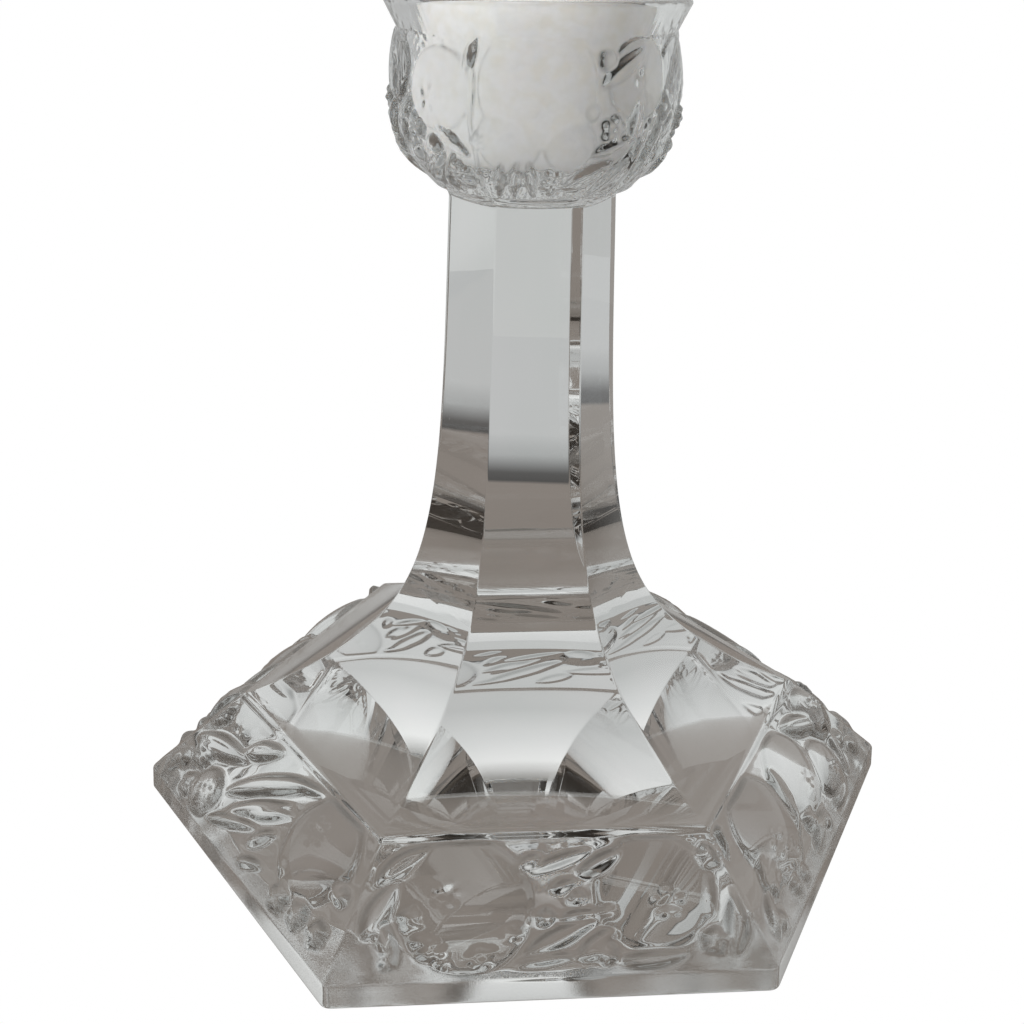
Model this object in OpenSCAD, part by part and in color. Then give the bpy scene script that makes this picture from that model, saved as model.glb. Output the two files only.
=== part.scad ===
// Six-sided pressed-glass candlestick with a thick candle standing in its cup.
// Origin: middle of the foot's flat underside. Z is up, and a flat of the foot faces -Y.

/* [Foot] */
// Distance from the centre of the foot to each of its six corners
foot_corner_r = 75; // [70:0.5:80]
// Height of the upright edge around the foot
plinth_h = 4.6; // [3.5:0.1:6]
// How far the lower edge of the plinth stands out past its upper edge
plinth_draft = 0.4; // [0.1:0.1:1]
// Width of the flat ring that the foot stands on, at the middle of each side
rim_w = 7; // [5:0.5:10]
// Depth of the shallow dish in the underside, inside that ring
dish_depth = 7; // [4:0.5:9]
// Distance from the centre to each corner of the ridge above the band
ridge_corner_r = 55.4; // [52:0.2:58]
// Height of the ridge above the table
ridge_z = 21.1; // [19:0.1:23]
// Width of the narrow flat along the ridge
ridge_flat = 1.2; // [0.6:0.1:2]
// Slope of the plain facets where they leave the ridge, in degrees
facet_slope = 22; // [16:1:28]
// How far the plain facets keep the slope of the ridge
facet_reach = 15; // [11:0.5:17]

/* [Stem] */
// Height of the joint between foot and stem
joint_z = 45.5; // [43:0.5:48]
// Distance from the centre to the corners of the stem at that joint
joint_corner_r = 23; // [22:0.1:24]
// Lean of the stem's corners from upright at that joint, in degrees
joint_lean = 27.5; // [24:0.5:31]
// How far the flare keeps that lean below the joint
flare_reach = 12; // [9:0.5:14]
// How far the flare keeps that lean above the joint
neck_reach = 16; // [12:0.5:20]
// Height of the joint between stem and cup
cup_z = 119.2; // [114:0.2:124]
// Distance from the centre to the corners of the stem at its top
stem_top_r = 14.6; // [13.6:0.1:15]
// Lean of the stem's corners from upright at its top, in degrees
stem_lean = 1.8; // [0.5:0.1:3]
// How far the stem keeps that lean below the cup
shaft_reach = 32; // [24:1:36]
// Thickness of the clear film in both joints
bond_t = 0.2; // [0.1:0.05:0.3]

/* [Candle cup] */
// Height of the cup from its joint to the top of its lip
cup_h = 32.8; // [31:0.2:36]
// Radius of the round seat under the cup
cup_seat_r = 15; // [15:0.1:16.5]
// Lean of the cup from upright at its seat, in degrees
seat_lean = 25; // [15:1:35]
// How far the cup keeps that lean above its seat
seat_reach = 2.5; // [1.5:0.5:4]
// Glass between the lower edge of the socket and the outside of the cup
heel_wall = 1.2; // [0.8:0.1:2]
// Lean of the cup from upright beside that edge, in degrees
heel_lean = 30; // [24:1:36]
// How far the cup keeps that lean on both sides of that edge
heel_reach = 3.6; // [2.5:0.1:4]
// Radius of the belly of the cup, without its relief
belly_r = 23.7; // [23.2:0.1:25]
// Height above the joint at which the belly is upright
belly_h = 18; // [15:0.5:20]
// How far the belly stays upright below that height
belly_reach = 4; // [2:0.5:5]
// Height above the joint of the groove between band and lip
waist_h = 27.8; // [26:0.2:28.6]
// Depth of that groove
waist_depth = 0.5; // [0.2:0.1:0.8]
// Radius of the lip at its outer edge
lip_r = 25.4; // [24.8:0.1:27]
// Roundness of the edge of the lip
lip_edge = 0.9; // [0.5:0.1:1.1]
// Radius of the socket that the candle stands in
socket_r = 20; // [18.5:0.1:20.5]
// Depth of the socket below the top of the lip
socket_depth = 25; // [20:0.5:26]

/* [Fruit relief] */
// Fruits on each of the six sides of the foot
foot_fruits = 2; // [1:1:2]
// Radius of a fruit on the foot
foot_fruit_r = 10.8; // [8:0.2:11]
// Height of a fruit above the band of the foot
foot_fruit_rise = 3.4; // [2:0.2:4]
// Distance between neighbouring fruits on one side of the foot
foot_fruit_pitch = 35; // [23:0.5:35]
// Radius of a berry in the cluster between two fruits
berry_r = 2.4; // [1.8:0.1:2.6]
// Height of a berry above the band of the foot
berry_rise = 1.6; // [0.8:0.1:2]
// Distance between neighbouring berries
berry_pitch = 5.8; // [5.6:0.1:6.4]
// Fruits around the cup
cup_fruits = 6; // [4:1:6]
// Radius of a fruit on the cup
cup_fruit_r = 9.4; // [7:0.2:9.8]
// Height of a fruit above the belly of the cup
cup_fruit_rise = 1.1; // [0.6:0.1:1.6]
// Height of the fruits above the joint of the cup
cup_fruit_h = 16.8; // [15.8:0.2:17.4]
// Lean of those fruits from upright, in degrees
cup_fruit_lean = 7; // [0:1:10]

/* [Candle] */
// Clearance between the candle and the wall of the socket
candle_gap = 0.5; // [0.3:0.1:1]
// Length of the candle
candle_h = 60; // [40:1:100]
// Roundness of the candle's top edge
candle_edge = 2; // [0.5:0.5:4]
// Radius of the braided wick
wick_r = 1.1; // [0.8:0.1:1.5]
// Clearance between the wick and the wax
wick_gap = 0.05; // [0.02:0.01:0.1]
// Length of wick above the candle
wick_free = 9; // [5:0.5:14]
// Wax left under the foot of the wick
wick_floor = 4; // [2:0.5:8]

/* [Hidden] */
curve_steps = 9;
edge_steps = 6;
sides = 6;
side_turn = 360 / sides;
facet_share = cos(180 / sides);
cap_root = 0.4;
round_fn = 96;

dish_r = foot_corner_r * facet_share - rim_w;
foot_top_z = joint_z - bond_t / 2;
stem_base_z = joint_z + bond_t / 2;
stem_top_z = cup_z - bond_t / 2;
cup_base_z = cup_z + bond_t / 2;
cup_top_z = cup_z + cup_h;
socket_floor_z = cup_top_z - socket_depth;
waist_z = cup_z + waist_h;
candle_r = socket_r - candle_gap;
candle_top_z = socket_floor_z + candle_h;

// Point at share t of the way from a to b
function between(a, b, t) = a + (b - a) * t;
// Point at share t along the cubic curve through a and d, pulled by b and c
function curve_point(a, b, c, d, t) =
    pow(1 - t, 3) * a + 3 * pow(1 - t, 2) * t * b + 3 * (1 - t) * t * t * c + pow(t, 3) * d;
// The whole curve as points, without its first point
function curve(a, b, c, d) =
    [for (i = [1:curve_steps]) curve_point(a, b, c, d, i / curve_steps)];
// Step of a given length at an angle above the level, in the plane of radius and height
function step_at(length, angle) = length * [cos(angle), sin(angle)];
// Quarter of a rounded edge about a centre, from one angle to another
function edge_arc(centre, r, from, to) =
    [for (i = [0:edge_steps]) centre + step_at(r, from + (to - from) * i / edge_steps)];
// Outline of radius over height, closed down the middle
function closed(points, low_z, high_z) = concat([[0, low_z]], points, [[0, high_z]]);

// Corner radius and height of the places that shape the foot and the stem
plinth_edge = [foot_corner_r, plinth_h];
ridge = [ridge_corner_r, ridge_z];
band_length = norm(plinth_edge - ridge);
ridge_outer = between(ridge, plinth_edge, ridge_flat / 2 / band_length);
ridge_inner = ridge - step_at(ridge_flat / 2, -facet_slope);
joint_low = [joint_corner_r, foot_top_z];
joint_high = [joint_corner_r, stem_base_z];
stem_top = [stem_top_r, stem_top_z];

foot_outline = concat(
    [[foot_corner_r + plinth_draft, 0], plinth_edge, ridge_outer, ridge_inner],
    curve(ridge_inner,
          ridge_inner + step_at(facet_reach, 180 - facet_slope),
          joint_low + step_at(flare_reach, joint_lean - 90),
          joint_low));
stem_outline = concat(
    [joint_high],
    curve(joint_high,
          joint_high + step_at(neck_reach, 90 + joint_lean),
          stem_top + step_at(shaft_reach, stem_lean - 90),
          stem_top));

cup_seat = [cup_seat_r, cup_base_z];
heel = [socket_r + heel_wall, socket_floor_z];
heel_step = step_at(heel_reach, 90 - heel_lean);
belly = [belly_r, cup_z + belly_h];
waist = [belly_r - waist_depth, waist_z];
lip_outer = [lip_r - lip_edge, cup_top_z - lip_edge];
lip_inner = lip_outer - [lip_edge, 0];
cup_outline = concat(
    [cup_seat],
    curve(cup_seat, cup_seat + step_at(seat_reach, 90 - seat_lean), heel - heel_step, heel),
    curve(heel, heel + heel_step, belly - [0, belly_reach], belly),
    curve(belly, between(belly, waist, 0.5), waist - [0, waist_depth], waist),
    edge_arc(lip_outer, lip_edge, 0, 90),
    edge_arc(lip_inner, lip_edge, 90, 180));

// Body with six equal sides and corners on +X and -X, from its corner radius over height
module six_sided(outline) {
    low_z = outline[0][1];
    high_z = outline[len(outline) - 1][1];
    rotate_extrude($fn = sides) polygon(closed(outline, low_z, high_z));
}

// Ball whose cap of radius r stands out by rise; its base lies at the origin, facing -Y
module cap_ball(r, rise) {
    ball_r = (r * r + rise * rise) / (2 * rise);
    translate([0, ball_r - rise, 0]) sphere(r = ball_r, $fn = round_fn);
}

// The cap alone, with a short root behind it that sinks into what carries it
module low_cap(r, rise) {
    intersection() {
        cap_ball(r, rise);
        rotate([90, 0, 0])
            cylinder(r = r + cap_root, h = 2 * rise, center = true, $fn = round_fn);
    }
}

// Fruits in a row, and berries between them, on the side of the foot that faces -Y
module side_relief() {
    middle = between(plinth_edge, ridge, 0.5);
    band_lean = atan2((plinth_edge[0] - ridge[0]) * facet_share, ridge_z - plinth_h);
    translate([0, -middle[0] * facet_share, middle[1]])
        rotate([-band_lean, 0, 0]) {
            for (i = [0:foot_fruits - 1])
                translate([(i - (foot_fruits - 1) / 2) * foot_fruit_pitch, 0, 0])
                    low_cap(foot_fruit_r, foot_fruit_rise);
            for (i = [0:2])
                rotate([0, i * 120, 0])
                    translate([0, 0, -berry_pitch / sqrt(3)])
                        cap_ball(berry_r, berry_rise);
        }
}

// Ball that hollows the underside of the foot into a shallow dish
module dish() {
    ball_r = (dish_r * dish_r + dish_depth * dish_depth) / (2 * dish_depth);
    translate([0, 0, dish_depth - ball_r])
        rotate([90, 0, 0]) sphere(r = ball_r, $fn = 2 * round_fn);
}

module foot() {
    color([0.86, 0.88, 0.87, 0.35])
        difference() {
            union() {
                six_sided(foot_outline);
                for (i = [0:sides - 1])
                    rotate([0, 0, i * side_turn]) side_relief();
            }
            dish();
        }
}

module stem() {
    color([0.86, 0.88, 0.87, 0.35]) six_sided(stem_outline);
}

module candle_cup() {
    color([0.86, 0.88, 0.87, 0.35])
        difference() {
            union() {
                rotate_extrude($fn = round_fn)
                    polygon(closed(cup_outline, cup_base_z, cup_top_z - lip_edge));
                for (i = [0:cup_fruits - 1])
                    rotate([0, 0, i * 360 / cup_fruits])
                        translate([0, -belly_r, cup_z + cup_fruit_h])
                            cup_fruit();
            }
            translate([0, 0, socket_floor_z])
                cylinder(r = socket_r, h = socket_depth + 1, $fn = round_fn);
        }
}

// Round fruit that lies against the belly of the cup
module cup_fruit() {
    reach = belly_r - sqrt(belly_r * belly_r - cup_fruit_r * cup_fruit_r);
    translate([0, reach, 0])
        rotate([cup_fruit_lean, 0, 0])
            low_cap(cup_fruit_r, cup_fruit_rise + reach);
}

module foot_bond() {
    color([0.9, 0.92, 0.92, 0.2]) bond_film(joint_corner_r, foot_top_z);
}

module cup_bond() {
    color([0.9, 0.92, 0.92, 0.2]) bond_film(stem_top_r, stem_top_z);
}

// Clear film as wide as the stem, from the height of its underside
module bond_film(corner_r, low_z) {
    translate([0, 0, low_z]) cylinder(r = corner_r, h = bond_t, $fn = sides);
}

module candle() {
    color([0.95, 0.94, 0.9])
        difference() {
            rotate_extrude($fn = round_fn)
                polygon(closed(
                    concat([[candle_r, socket_floor_z]],
                           edge_arc([candle_r - candle_edge, candle_top_z - candle_edge],
                                    candle_edge, 0, 90)),
                    socket_floor_z, candle_top_z));
            translate([0, 0, socket_floor_z + wick_floor])
                cylinder(r = wick_r + wick_gap, h = candle_h, $fn = round_fn);
        }
}

module wick() {
    color([0.93, 0.92, 0.87])
        translate([0, 0, socket_floor_z + wick_floor])
            cylinder(r = wick_r, h = candle_h - wick_floor + wick_free, $fn = round_fn);
}

foot();
stem();
candle_cup();
foot_bond();
cup_bond();
candle();
wick();
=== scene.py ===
# %% [markdown]
# # A pressed crystal candlestick with its candle
# The holder is one heavy pressing of clear crystal: a wide six-sided foot with a band of
# fruit and leaves, a flared six-sided stem, and a round cup with the same relief. A thick
# wax candle stands in the cup. Clear glass shows everything that lies behind it, bent by
# its faces, so most of the work is in exact faces and in a calm room for them to show.

# %% The frame that every piece is built in
import math

import bpy
import numpy as np
from mathutils import Matrix, Vector


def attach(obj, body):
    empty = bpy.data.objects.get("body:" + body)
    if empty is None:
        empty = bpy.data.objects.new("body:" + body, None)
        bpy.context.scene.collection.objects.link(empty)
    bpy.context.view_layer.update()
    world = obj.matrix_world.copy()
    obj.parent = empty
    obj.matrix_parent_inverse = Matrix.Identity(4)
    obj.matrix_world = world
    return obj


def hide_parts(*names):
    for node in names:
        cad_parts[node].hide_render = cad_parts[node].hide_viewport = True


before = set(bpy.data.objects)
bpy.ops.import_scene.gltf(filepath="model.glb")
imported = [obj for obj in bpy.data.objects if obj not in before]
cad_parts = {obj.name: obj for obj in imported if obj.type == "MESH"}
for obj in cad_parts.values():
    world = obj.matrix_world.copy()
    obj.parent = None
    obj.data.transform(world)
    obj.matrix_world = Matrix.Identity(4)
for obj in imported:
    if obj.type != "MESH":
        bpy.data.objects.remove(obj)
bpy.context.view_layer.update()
scene = bpy.context.scene
MM = 0.001

# %% [markdown]
# ## Colours
# Colours are noted as sRGB hex values, as a paint card gives them. The renderer counts in
# linear light, so one function turns each hex value into linear red, green and blue.


# %% Hex to linear colour
def linear(code):
    """sRGB to linear: up to 0.04045 divide by 12.92, above it ((c + 0.055) / 1.055) ** 2.4."""
    srgb = np.array([int(code[i:i + 2], 16) for i in (1, 3, 5)]) / 255
    low, high = srgb / 12.92, ((srgb + 0.055) / 1.055) ** 2.4
    return tuple(np.where(srgb <= 0.04045, low, high)) + (1.0,)


# %% [markdown]
# ## Outlines
# Foot and stem share one idea: an outline that gives the distance from the middle to a
# corner at each height, carried around six flat sides. The smooth parts of the outline
# are cubic curves, each given by its ends and by how far it keeps its slope there.


# %% Curves and rounded corners in the plane of radius and height
def step_at(length, angle):
    """A step of that length at an angle in degrees above the level."""
    return length * np.array([math.cos(math.radians(angle)), math.sin(math.radians(angle))])


def cubic(a, b, c, d, count):
    """Cubic curve: (1-t)^3 a + 3 (1-t)^2 t b + 3 (1-t) t^2 c + t^3 d, without its start."""
    t = np.linspace(0, 1, count + 1)[1:, None]
    return (1 - t) ** 3 * a + 3 * (1 - t) ** 2 * t * b + 3 * (1 - t) * t * t * c + t ** 3 * d


def straight(a, b, count):
    """Evenly spaced points after a, up to b."""
    t = np.linspace(0, 1, count + 1)[1:, None]
    return a + (b - a) * t


def soft_corner(before, corner, after, reach, count=4):
    """Corner cut by a quadratic curve that starts and ends at that reach from it:
    (1-t)^2 p + 2 (1-t) t corner + t^2 q."""
    p = corner + (before - corner) / np.linalg.norm(before - corner) * reach
    q = corner + (after - corner) / np.linalg.norm(after - corner) * reach
    t = np.linspace(0, 1, count + 1)[:, None]
    return (1 - t) ** 2 * p + 2 * (1 - t) * t * corner + t * t * q


# %% [markdown]
# ## Sizes of the foot and the stem
# These are the same sizes as in the solids: the outline runs out along the underside, up
# the plinth, up the slanted band to a ridge, over plain sloping facets and into the flare
# of the stem. Between the band and the facets a narrow strip rounds the ridge, because a
# mould is never cut to a knife edge.

# %% Sizes of the foot and the stem in millimetres: (corner radius, height)
ground_edge = np.array([75.4, 0.0])
plinth_edge = np.array([75.0, 4.6])
ridge = np.array([55.4, 21.1])
ridge_half = 1.2  # from the ridge to either edge of the narrow strip that rounds it
facet_slope = 22  # degrees that the plain facets climb inwards from the ridge
joint_low, joint_high = np.array([23.05, 45.4]), np.array([22.95, 45.6])
joint_lean = 27.5  # degrees from upright, where the flare of the stem meets the foot
stem_top = np.array([14.6, 119.1])
stem_lean = 1.8  # degrees from upright, at the top of the stem
facet_keeps, stem_keeps = (15, 12), (16, 32)  # mm of kept slope at the lower and upper end
along_band = (plinth_edge - ridge) / np.linalg.norm(plinth_edge - ridge)
ridge_outer = ridge + along_band * ridge_half
ridge_inner = ridge - step_at(ridge_half, -facet_slope)

foot_facet = cubic(ridge_inner, ridge_inner + step_at(facet_keeps[0], 180 - facet_slope),
                   joint_low + step_at(facet_keeps[1], joint_lean - 90), joint_low, 24)
stem_side = cubic(joint_high, joint_high + step_at(stem_keeps[0], 90 + joint_lean),
                  stem_top + step_at(stem_keeps[1], stem_lean - 90), stem_top, 90)
print("facet of the foot:", len(foot_facet), "rows, stem:", len(stem_side), "rows")

# %% [markdown]
# ## Six flat sides with soft arrises
# A pressing has no knife edge: each arris is a small round. A Bevel modifier would round
# them too, but it would move the points that carry the relief. So the section is the
# hexagon shrunk by the round's radius and grown again along each point's own direction:
# the sides stay flat and the corners become arcs.


# %% The six-sided section, and a body carried up along an outline
FLAT = math.cos(math.pi / 6)  # distance of a flat side from the axis, over that of a corner


def hexagon_section(per_side, per_corner):
    """Unit points and directions of a rounded hexagon: body = (R - round / cos 30) * point
    + round * direction. Also gives each column's side and its place from -1 to 1 on it."""
    last_inside = 0.985  # the outermost even column; the next one is the end of the side
    flat = np.concatenate([[-1], np.linspace(-last_inside, last_inside, per_side), [1]])
    points, directions, sides, places = [], [], [], []
    for side in range(6):
        middle = math.radians(60 * side - 90)
        normal = np.array([math.cos(middle), math.sin(middle)])
        tangent = np.array([-normal[1], normal[0]])
        points.append(normal * FLAT + flat[:, None] * tangent / 2)
        directions.append(np.tile(normal, (len(flat), 1)))
        turn = middle + np.linspace(0, math.pi / 3, per_corner + 2)[1:-1]
        points.append(np.tile(normal * FLAT + tangent / 2, (per_corner, 1)))
        directions.append(np.stack([np.cos(turn), np.sin(turn)], axis=1))
        sides += [side] * (len(flat) + per_corner)
        places += list(flat) + [1.0] * per_corner
    return (np.concatenate(points), np.concatenate(directions),
            np.array(sides), np.array(places))


def six_sided(outline, arris, section):
    """Grid of points, rows up the outline and columns around: point and direction of the
    section, scaled by the outline's corner radius less the arris round over cos 30."""
    points, directions = section[:2]
    inner = outline[:, 0] - arris / FLAT
    flat = inner[:, None, None] * points + np.asarray(arris)[:, None, None] * directions
    height = np.broadcast_to(outline[:, 1][:, None, None], flat.shape[:2] + (1,))
    return np.concatenate([flat, height], axis=2)


def lathe(outline, columns):
    """Grid of points of a round body: (r sin a, -r cos a, z) for each outline point."""
    turn = np.linspace(0, 2 * math.pi, columns, endpoint=False)
    ring = np.stack([np.sin(turn), -np.cos(turn)], axis=1)
    flat = outline[:, 0][:, None, None] * ring
    height = np.broadcast_to(outline[:, 1][:, None, None], flat.shape[:2] + (1,))
    return np.concatenate([flat, height], axis=2)


# %% [markdown]
# ## From grid to mesh
# Each piece is one closed skin: rows of points from the middle of its underside, out, up
# and back to the middle of its top. The quads join neighbouring rows, and a fan closes
# each end. A loop could add the faces one by one, but whole arrays of point numbers make
# them all at once. Rings named as sharp keep a crisp edge in the shading.


# %% Closed skin from a grid
def closed_skin(name, grid, bottom, top, sharp_rows=(), materials=(), row_material=None):
    """Mesh of the grid's quads with a fan to the point bottom and another to the point top;
    row_material gives a material number for each band of faces from bottom to top."""
    rows, columns = grid.shape[:2]
    points = np.concatenate([grid.reshape(-1, 3), [bottom], [top]]) * MM
    here = np.arange(rows * columns).reshape(rows, columns)
    right = np.roll(here, -1, axis=1)
    quads = np.stack([here[:-1], right[:-1], right[1:], here[1:]], axis=-1).reshape(-1, 4)
    low, high = rows * columns, rows * columns + 1
    fan_low = np.stack([np.full(columns, low), right[0], here[0]], axis=1)
    fan_high = np.stack([here[-1], right[-1], np.full(columns, high)], axis=1)
    mesh = bpy.data.meshes.new(name)
    mesh.from_pydata(points.tolist(), [], fan_low.tolist() + quads.tolist() + fan_high.tolist())
    for material in materials:
        mesh.materials.append(material)
    if row_material is not None:
        mesh.polygons.foreach_set("material_index", np.repeat(row_material, columns))
    mesh.polygons.foreach_set("use_smooth", np.ones(len(mesh.polygons), bool))
    ends = np.zeros(len(mesh.edges) * 2, int)
    mesh.edges.foreach_get("vertices", ends)
    row_of = ends.reshape(-1, 2) // columns
    sharp = (row_of[:, 0] == row_of[:, 1]) & np.isin(row_of[:, 0], list(sharp_rows))
    sharp &= ends.reshape(-1, 2).max(axis=1) < low
    mesh.attributes.new("sharp_edge", "BOOLEAN", "EDGE").data.foreach_set("value", sharp)
    mesh.update()
    body = bpy.data.objects.new(name, mesh)
    scene.collection.objects.link(body)
    print(f"{name}: {rows} x {columns} points, {2 * len(quads) + 2 * columns} triangles")
    return body


# %% [markdown]
# ## Building a material from nodes
# A material is a small network. It could be drawn by hand in the node editor, but as code
# it can be read from top to bottom. One function adds a node of any kind with its
# settings, its links and, where it is a colour ramp, its stops. Two short ones give what
# every finish here starts from: an empty material, and soft patches whose size is in
# millimetres. Object coordinates tie each pattern to the piece, so it moves with it.


# %% Node helper, empty material and soft patches
def add_node(tree, kind, links=(), stops=(), **settings):
    """Adds a node; settings go to its sockets by name, or to its own properties when the
    name starts with a lower-case letter; links are (socket, from_socket) pairs; stops are
    a ramp's (place, linear colour) pairs. A Mix of kind RGBA mixes sockets 6 and 7."""
    node = tree.nodes.new(kind)
    for name, value in settings.items():
        if name[0].islower():
            setattr(node, name, value)
        else:
            node.inputs[name.replace("_", " ")].default_value = value
    for socket, source in links:
        tree.links.new(source, node.inputs[socket])
    if stops:
        for _ in stops[2:]:
            node.color_ramp.elements.new(0.5)
        for element, (spot, colour) in zip(node.color_ramp.elements, stops):
            element.position, element.color = spot, tuple(colour)[:3] + (1,)
    return node


def new_material(name):
    """An empty node material, its tree and its output node."""
    material = bpy.data.materials.new(name)
    material.use_nodes = True
    material.node_tree.nodes.clear()
    output = material.node_tree.nodes.new("ShaderNodeOutputMaterial")
    return material, material.node_tree, output


def patches(tree, size_mm, detail=2.0, stretch=(1, 1, 1)):
    """Level from 0 to 1 in soft patches about size_mm across, fixed to the piece itself;
    stretch makes them that many times longer along x, y and z."""
    where = add_node(tree, "ShaderNodeTexCoord")
    scaled = add_node(tree, "ShaderNodeMapping", links=[("Vector", where.outputs["Object"])],
                      Scale=tuple(1 / (size_mm * MM * s) for s in stretch))
    noise = add_node(tree, "ShaderNodeTexNoise", links=[("Vector", scaled.outputs[0])],
                     Scale=1.0, Detail=detail)
    return noise.outputs["Fac"]


def grey(level):
    """A neutral linear colour of that level."""
    return (level, level, level)


# %% [markdown]
# ## Clear crystal
# Crystal is a lead glass, poured hot and pressed in an iron mould, then fire-polished, so
# its skin is smooth with a faint waviness left by the mould. Its index is about 1.545.
# It could be drawn as a mirror-like coat over a see-through colour, but only real
# refraction shows the room inside the facets, upside down and doubled, as crystal does.
# Where two parts meet at a bond there is glass on both sides, and light goes straight on:
# those hidden faces get a clear joint material that bends nothing. The ring that the foot
# stands on is ground, so it has a satin finish of its own.

# %% Pressed crystal
# Clear lead crystal: pressed in an iron mould and fire-polished. Faint cords of denser glass
# run through it, the skin waves by some hundredths of a millimetre, and years of handling
# have left a few hair scratches along the stem. The steep flanks of the relief are painted a
# little darker: painted shade, standing for the dark lines that light bent by the relief draws.
CRYSTAL_IOR = 1.545
crystal, tree, output = new_material("pressed_crystal")
cords = add_node(tree, "ShaderNodeValToRGB", links=[("Fac", patches(tree, 14, 2, (1, 1, 3)))],
                 stops=[(0.35, linear("#F8FAF9")), (0.65, linear("#FDFDFD"))])
hairs = add_node(tree, "ShaderNodeValToRGB", links=[("Fac", patches(tree, 0.35, 1, (1, 1, 60)))],
                 stops=[(0.80, grey(0.0)), (0.83, grey(0.22))])
# painted shade: on the steep flanks of the relief the colour darkens towards #8A8D8B
edges = add_node(tree, "ShaderNodeAttribute", attribute_name="painted_flank_shade")
cords_and_flank_shade = add_node(tree, "ShaderNodeMix", data_type="RGBA", links=[
    (0, edges.outputs["Fac"]), (6, cords.outputs[0])])
cords_and_flank_shade.inputs[7].default_value = linear("#8A8D8B")
waves = add_node(tree, "ShaderNodeBump", Distance=0.00002, Strength=0.5, links=[
    ("Height", patches(tree, 9, 1))])
glass = add_node(tree, "ShaderNodeBsdfPrincipled", IOR=CRYSTAL_IOR, Transmission_Weight=1.0,
                 links=[("Base Color", cords_and_flank_shade.outputs[2]), ("Roughness", hairs.outputs[0]),
                        ("Normal", waves.outputs[0])])
tree.links.new(glass.outputs["BSDF"], output.inputs["Surface"])

# %% Ground crystal and the clear joint
# Ground crystal: the ring that the foot stands on was ground flat on an iron wheel, then
# polished again, and shelves have worn it since, so it is satin with uneven patches.
ground, tree, output = new_material("ground_crystal")
wear = add_node(tree, "ShaderNodeValToRGB", links=[("Fac", patches(tree, 2.0, 4))],
                stops=[(0.35, grey(0.02)), (0.65, grey(0.07))])
grit = add_node(tree, "ShaderNodeBump", Distance=0.00002, Strength=0.6, links=[
    ("Height", patches(tree, 0.3, 3))])
satin = add_node(tree, "ShaderNodeBsdfPrincipled", IOR=CRYSTAL_IOR, Transmission_Weight=1.0,
                 Base_Color=linear("#F0F1F0"), links=[
                     ("Roughness", wear.outputs[0]), ("Normal", grit.outputs[0])])
tree.links.new(satin.outputs["BSDF"], output.inputs["Surface"])

# Hidden joint face with glass on both sides: light goes straight through.
joint_clear, tree, output = new_material("clear_joint")
clear = add_node(tree, "ShaderNodeBsdfTransparent", Color=(1, 1, 1, 1))
tree.links.new(clear.outputs["BSDF"], output.inputs["Surface"])

# %% [markdown]
# ## Wax and cotton
# Paraffin wax is milky because light enters it, scatters and comes out some millimetres
# away. Plain white paint would look hard and chalky beside it, so the wax scatters below
# its skin. The wick is matt cotton, and its plait is real geometry.

# %% Paraffin wax and the cotton of the wick
# Paraffin wax, cast in a smooth tube: light goes some millimetres deep and comes out again,
# with a faint mottle where the wax set faster, and a skin that is dull from handling.
wax, tree, output = new_material("paraffin_wax")
mottle = add_node(tree, "ShaderNodeValToRGB", links=[("Fac", patches(tree, 2.2, 4))],
                  stops=[(0.36, linear("#F4F2ED")), (0.6, linear("#FDFCFA"))])
dull = add_node(tree, "ShaderNodeValToRGB", links=[("Fac", patches(tree, 6, 3, (1, 1, 3)))],
                stops=[(0.3, grey(0.38)), (0.7, grey(0.52))])
skin = add_node(tree, "ShaderNodeBump", Distance=0.00005, Strength=0.6, links=[
    ("Height", patches(tree, 1.2, 3))])
paraffin = add_node(tree, "ShaderNodeBsdfPrincipled", IOR=1.44, Subsurface_Weight=1.0,
                    Subsurface_Radius=(1.0, 0.95, 0.9), Subsurface_Scale=0.02, links=[
                        ("Base Color", mottle.outputs[0]), ("Roughness", dull.outputs[0]),
                        ("Normal", skin.outputs[0])])
tree.links.new(paraffin.outputs["BSDF"], output.inputs["Surface"])

# Bleached cotton, plaited from thin yarns and stiffened with wax: matt, a little uneven.
cotton, tree, output = new_material("cotton_wick")
yarn = add_node(tree, "ShaderNodeValToRGB", links=[("Fac", patches(tree, 0.3, 3, (1, 1, 4)))],
                stops=[(0.3, linear("#D9D2C1")), (0.7, linear("#F1EDE3"))])
fuzz = add_node(tree, "ShaderNodeBump", Distance=0.00008, Strength=0.8, links=[
    ("Height", patches(tree, 0.15, 3))])
fibre = add_node(tree, "ShaderNodeBsdfPrincipled", Roughness=0.9, IOR=1.47, links=[
    ("Base Color", yarn.outputs[0]), ("Normal", fuzz.outputs[0])])
tree.links.new(fibre.outputs["BSDF"], output.inputs["Surface"])
print("materials:", [m.name for m in bpy.data.materials])

# %% [markdown]
# ## Relief of fruit and leaves
# The mould was cut by hand with a few simple forms, repeated in loose clusters: round
# fruits with a small star where the blossom was, pointed leaves with a rib, berries and
# small blossoms. Each form is a height over a flat drawing, so the whole band is one
# height map: the highest form wins, and a short blur softens it as the hot glass does.

# %% The forms of the relief, as heights in mm over a drawing in mm
HIDDEN = -9.0  # outside its own outline a form lies this deep, so the ground covers it


def step_up(distance, width):
    """Soft step from 0 at the outline to 1 at that width inside it: s^2 (3 - 2 s)."""
    s = np.clip(distance / width, 0, 1)
    return s * s * (3 - 2 * s)


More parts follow.
